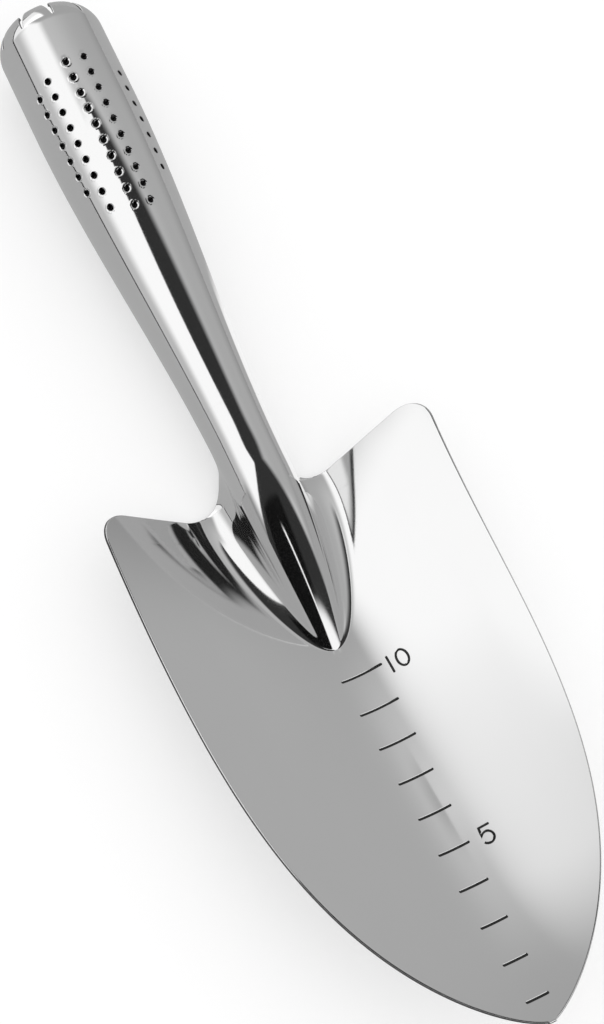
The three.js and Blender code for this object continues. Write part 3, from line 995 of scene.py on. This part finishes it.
def direction_wires(tree):
    """The looked-at direction of a world, as degrees from straight up towards +X and +Y."""
    coordinates = tree.nodes.new("ShaderNodeTexCoord")
    x, y, z = split_wires(tree, coordinates.outputs["Generated"])
    from_zenith = z.math("ARCCOSINE") * math.degrees(1)
    flat = (x * x + y * y).math("SQRT").math("MAXIMUM", 1e-4)
    return from_zenith * x / flat, from_zenith * y / flat


def base_material(name):
    """A new material with its node tree and its shader."""
    material = bpy.data.materials.new(name)
    material.use_nodes = True
    return material, material.node_tree, material.node_tree.nodes["Principled BSDF"]


def object_position(tree):
    """A surface point's place in the row frame, in millimetres, as a vector output."""
    coordinates = tree.nodes.new("ShaderNodeTexCoord")
    scale = tree.nodes.new("ShaderNodeVectorMath")
    scale.operation = "SCALE"
    scale.inputs["Scale"].default_value = 1 / MM
    tree.links.new(coordinates.outputs["Object"], scale.inputs[0])
    return scale.outputs[0]


def noise(tree, position, stretch, detail=3.0):
    """Noise from 0 to 1 with this many waves per millimetre along x, y and z."""
    mapping = tree.nodes.new("ShaderNodeMapping")
    mapping.inputs["Scale"].default_value = stretch
    texture = tree.nodes.new("ShaderNodeTexNoise")
    texture.inputs["Scale"].default_value = 1
    texture.inputs["Detail"].default_value = detail
    tree.links.new(position, mapping.inputs["Vector"])
    tree.links.new(mapping.outputs[0], texture.inputs["Vector"])
    return Wire(tree, texture.outputs[0])


def set_roughness(wire, shader):
    """Links a value to a shader's roughness."""
    wire.tree.links.new(wire.source, shader.inputs["Roughness"])


def grey_colour(wire, shader):
    """Sets a shader's base colour to a neutral grey of this brightness."""
    combine = wire.tree.nodes.new("ShaderNodeCombineColor")
    for channel in ("Red", "Green", "Blue"):
        wire.tree.links.new(wire.source, combine.inputs[channel])
    wire.tree.links.new(combine.outputs[0], shader.inputs["Base Color"])


def bumped(height, shader, depth):
    """Raises a shader's surface by this height, times a depth in millimetres."""
    bump = height.tree.nodes.new("ShaderNodeBump")
    bump.inputs["Distance"].default_value = depth * MM
    height.tree.links.new(height.source, bump.inputs["Height"])
    height.tree.links.new(bump.outputs[0], shader.inputs["Normal"])


def polished_steel(name, roughness, shaded_pits=False):
    """Buffed stainless: fine lengthwise buffing lines, a few hairline scratches and faint haze.

    Asked to, it darkens the bottoms of the dimples to near black: painted shade in the hollows.
    """
    material, tree, shader = base_material(name)
    shader.inputs["Metallic"].default_value = 1
    position = object_position(tree)
    haze = noise(tree, position, HAZE)
    lines = noise(tree, position, BUFFING, detail=6)
    grain = noise(tree, position, GRAIN)
    scratches = noise(tree, position, HAIRLINES, detail=8).rise(0.66, 0.72)
    dulling = haze * 0.35 + grain * 0.15 + lines * 0.5 - 0.5
    set_roughness(dulling * 0.35 * roughness + scratches * 0.02 + roughness, shader)
    brightness = (haze - 0.5) * 0.03 + (lines - 0.5) * 0.02 + 0.84
    # Painted shade: the dimples' bottoms are darkened to near black in the base colour.
    if shaded_pits:
        pit = tree.nodes.new("ShaderNodeAttribute")
        pit.attribute_name = "pit"
        painted_pit_shade = Wire(tree, pit.outputs["Fac"]).rise(0.08, 0.3)
        brightness = brightness.mixed(0.012, painted_pit_shade)
    grey_colour(brightness, shader)
    bumped(lines * 0.8 + scratches * -0.4, shader, BUFFING_DEPTH)
    return material


def shaded_cut_edge(name):
    """The sheet's sheared edge: dull, with fine marks across its thickness, and a near-black
    colour that is painted shade.
    """
    material, tree, shader = base_material(name)
    shader.inputs["Metallic"].default_value = 1
    marks = noise(tree, object_position(tree), SHEAR_MARKS, detail=4)
    set_roughness(marks * 0.2 + 0.3, shader)
    # Painted shade: the edge's colour is held near black, so its rim shows as a dark line.
    grey_colour(marks * 0.06 + 0.1, shader)
    bumped(marks, shader, SHEAR_DEPTH)
    return material


def ink(name):
    """Dull black filling, a little mottled and uneven."""
    material, tree, shader = base_material(name)
    mottle = noise(tree, object_position(tree), MOTTLE, detail=5)
    grey_colour(mottle * 0.012 + 0.004, shader)
    set_roughness(mottle * 0.25 + 0.4, shader)
    bumped(mottle, shader, MOTTLE_DEPTH)
    return material


blade_steel = polished_steel("blade_steel", BLADE_ROUGHNESS)
handle_steel = polished_steel("handle_steel", HANDLE_ROUGHNESS, shaded_pits=True)
weld_steel = polished_steel("weld_steel", BLADE_ROUGHNESS)
shaded_sheared_edge = shaded_cut_edge("shaded_sheared_edge")
scale_ink = ink("scale_ink")

# ---------------------------------------------------------------- pieces

points, normals, faces, cut = thicken(blade_points, blade_normals, blade_faces)
steels = [blade_steel, shaded_sheared_edge]
blade = new_object("pressed_blade", lay_down(points), faces, steels, normals, cut)
carve_scale(blade, points, normals)
finished(blade, "blade")

points, normals, faces, cut = thicken(*handle_surface())
# Dimple depth of each point, which the handle's steel turns into painted shade at the dimples'
# bottoms.
shaded_pits = pit_depth(points[:, 1], np.arctan2(points[:, 0], points[:, 2]))
points, normals = lay_down(from_handle(points)), turned_with_handle(normals)
steels = [handle_steel, shaded_sheared_edge]
handle = new_object("rolled_handle", points, faces, steels, normals, cut)
pit = handle.data.attributes.new("pit", "FLOAT", "POINT")
pit.data.foreach_set("value", shaded_pits.astype(np.float32))
finished(handle, "handle_tube")

points, normals, faces = neck_weld_surface()
points, normals = lay_down(from_handle(points)), turned_with_handle(normals)
neck_weld = new_object("ground_neck_weld", points, faces, [weld_steel], normals)
finished(neck_weld, "neck_weld")

points, sides, ends = seam_weld_surface()
faces = [*sides.tolist(), *ends]
seam_weld = new_object("ground_seam_weld", lay_down(from_handle(points)), faces, [weld_steel])
finished(seam_weld, "handle_seam_weld")

for name, node, width, line in scale_shapes():
    layers = [(width / 2, INK_TOP), (width / 2, INK_DEPTH)]
    stroke = from_bmesh(name, carved(layers, line), scale_ink)
    finished(stroke, node)

# ---------------------------------------------------------------- floor, light and camera


def ground(name, grey, glow=0.0):
    """A large level sheet on the ground, lit by the studio and a little from within."""
    material, _, shader = base_material(name)
    shader.inputs["Base Color"].default_value = (grey, grey, grey, 1)
    shader.inputs["Roughness"].default_value = FLOOR_ROUGHNESS
    shader.inputs["Specular IOR Level"].default_value = 0
    shader.inputs["Emission Color"].default_value = (1, 1, 1, 1)
    shader.inputs["Emission Strength"].default_value = glow
    half = GROUND_HALF
    corners = [(-half, -half, 0), (half, -half, 0), (half, half, 0), (-half, half, 0)]
    obj = new_object(name, corners, [(0, 1, 2, 3)], [material])
    return obj


def wall_cards(right, back):
    """Brightness of the studio's walls and cards, by direction.

    right and back are degrees from straight up towards +X and +Y, and so is every number in a
    rise(). Each card is a soft-edged area in them, and lies over the cards before it.
    """
    from_zenith = (right * right + back * back).math("SQRT")

    # Grey walls, lighter to the front left, with a pale card at the front right
    front_left = (right.rise(-12, 50) * -1 + 1) * (back.rise(24, 38) * -1 + 1)
    cards = right.rise(60, 95) * RIGHT_CHANGE + back.rise(28, 44) * BACK_CHANGE
    cards = cards + front_left * FRONT_LEFT_CHANGE + GREY_WALL
    front_right = right.rise(24, 36) * right.rise(74, 46) * back.rise(4, -14)
    cards = cards + front_right * FRONT_RIGHT_CHANGE

    # A dark gap overhead, which ends at a curved edge on its left and a slanting one on its right
    near = (back * -1 + 28).math("MAXIMUM", 0)
    edge = right + near * near * 0.06 + 2
    dark_end = (back - 12) * -1.3 + 24
    dark_top = edge.rise(-1, 1) * (right - dark_end).rise(10, -8) * back.rise(28, 25)
    cards = cards.mixed(DARK_TOP, dark_top)

    # A white wall left of that edge and at the back left, which greys towards the ground
    white = edge.rise(1, -1) * back.rise(28, 23)
    far_edge = right + (back - 30).math("MAXIMUM", 0) * 0.7
    white = white.math("MAXIMUM", far_edge.rise(-8, -24) * back.rise(20, 24))
    white = white.math("MAXIMUM", right.rise(2, -4) * back.rise(46, 54))
    greying = back.rise(20, 8) * FRONT_GREYING + GREYING
    white_wall = from_zenith.rise(54, 78) * greying * -1 + WHITE_WALL
    white_wall = white_wall + back.rise(42, 54) * WHITE_BACK_CHANGE
    cards = cards.mixed(white_wall, white)

    # The dark room in front, with a narrow lamp across it and a broad one at its right
    front_edge = ((right + 76).math("MAXIMUM", 0) * 0.5 - 20).math("MINIMUM", -4)
    dark_front = (back - front_edge).rise(2, -2) * right.rise(20, 8)
    cards = cards.mixed(DARK_FRONT, dark_front)
    narrow = (right + back * 0.5 + 20).math("ABSOLUTE").rise(3, 1.5) * back.rise(-14, -18)
    broad = back.rise(-33, -37) * right.rise(-6, 2)
    cards = cards.mixed(LAMP, narrow.math("MAXIMUM", broad))

    # A black skirting along the foot of the walls at the back left
    skirting = from_zenith.rise(87, 88.5) * right.rise(0, -20) * back.rise(14, 20)
    return cards.mixed(BLACK_SKIRTING, skirting)


def inner_cards(right, back):
    """Brightness of what the steel shows of its own reflections, by direction in degrees.

    It is mostly grey, but dark from the back left, which fills the valley left of the tongue,
    and bright from the back right, which fills the one on its right.
    """
    back_left = back.rise(15, 22) * right.rise(-72, -58) * right.rise(8, -6)
    back_right = right.rise(8, 22) * back.rise(25, 31)
    return back_left * INNER_LEFT_CHANGE + back_right * INNER_RIGHT_CHANGE + INNER_GREY


floor = ground("floor", FLOOR_GREY, FLOOR_GLOW)
floor.visible_glossy = False

# What polished steel sees of the floor: grey, with a white strip just right of the tool.
mirrored_floor = ground("mirrored_floor", MIRRORED_GREY)
mirrored_floor.visible_camera = False
mirrored_floor.visible_diffuse = False
mirrored_floor.visible_shadow = False
shade = mirrored_floor.data.materials[0].node_tree
x, y, _ = split_wires(shade, object_position(shade))
white_strip = x.rise(5, 15) * x.rise(52, 44) * y.rise(75, 55)
strip_grey = white_strip * STRIP_CHANGE + MIRRORED_GREY
grey_colour(strip_grey, shade.nodes["Principled BSDF"])

# Soft studio light. Only reflections see the cards, and every other surface gets an even light.
# A ray that has already met the steel once before sees the inner cards instead.
world = bpy.data.worlds.new("studio")
bpy.context.scene.world = world
world.use_nodes = True
sky = world.node_tree
right, back = direction_wires(sky)
paths = sky.nodes.new("ShaderNodeLightPath")
glossy = Wire(sky, paths.outputs["Is Glossy Ray"])
second_bounce = Wire(sky, paths.outputs["Glossy Depth"]).rise(1.2, 1.8)
cards = wall_cards(right, back).mixed(inner_cards(right, back), second_bounce)
strength = cards * glossy + (glossy * -1 + 1) * PLAIN_LIGHT
background = sky.nodes["Background"]
background.inputs["Color"].default_value = (1, 1, 1, 1)
sky.links.new(strength.source, background.inputs["Strength"])
bpy.context.scene.view_settings.view_transform = "Standard"

camera_data = bpy.data.cameras.new("camera")
camera_data.lens = CAMERA_LENS
camera_data.shift_x, camera_data.shift_y = CAMERA_SHIFT
camera_data.clip_start = CAMERA_NEAR
camera = bpy.data.objects.new("camera", camera_data)
camera.location = CAMERA_PLACE
camera.rotation_euler = [math.radians(a) for a in CAMERA_TURN]
bpy.context.scene.collection.objects.link(camera)
bpy.context.scene.camera = camera
